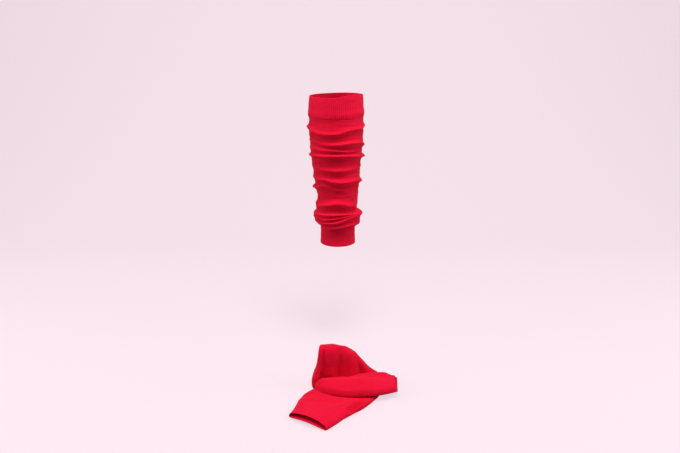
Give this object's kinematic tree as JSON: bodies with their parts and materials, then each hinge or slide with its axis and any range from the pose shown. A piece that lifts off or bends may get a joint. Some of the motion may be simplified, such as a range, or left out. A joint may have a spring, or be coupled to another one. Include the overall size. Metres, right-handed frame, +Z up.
{
  "type": "pair of leg warmers",
  "caption": "Fine-knit leg warmers with ribbed cuffs: a hollow tube slouched in folds as it is worn, and its partner folded on the floor below.",
  "frame": {"origin": "on the worn leg warmer's axis, halfway up its ankle cuff, where the wearer's ankle holds it", "axes": "+Z up along the worn tube, +Y away from the front of the shin, +X to the right seen from the front"},
  "size_m": [0.207, 0.4072, 0.5703],
  "materials": {
    "jersey_knit": "matt fine jersey knit with a soft nap",
    "rib_knit": "matt narrow rib knit with a soft nap"
  },
  "bodies": {
    "root": {"worn_top_cuff": "rib_knit", "worn_leg": "jersey_knit", "worn_ankle_cuff": "rib_knit", "folded_front_cuff": "rib_knit", "folded_lower_run": "jersey_knit", "folded_standing_fold": "jersey_knit", "folded_upper_run": "jersey_knit", "folded_end_cuff": "rib_knit"}
  },
  "joints": []
}
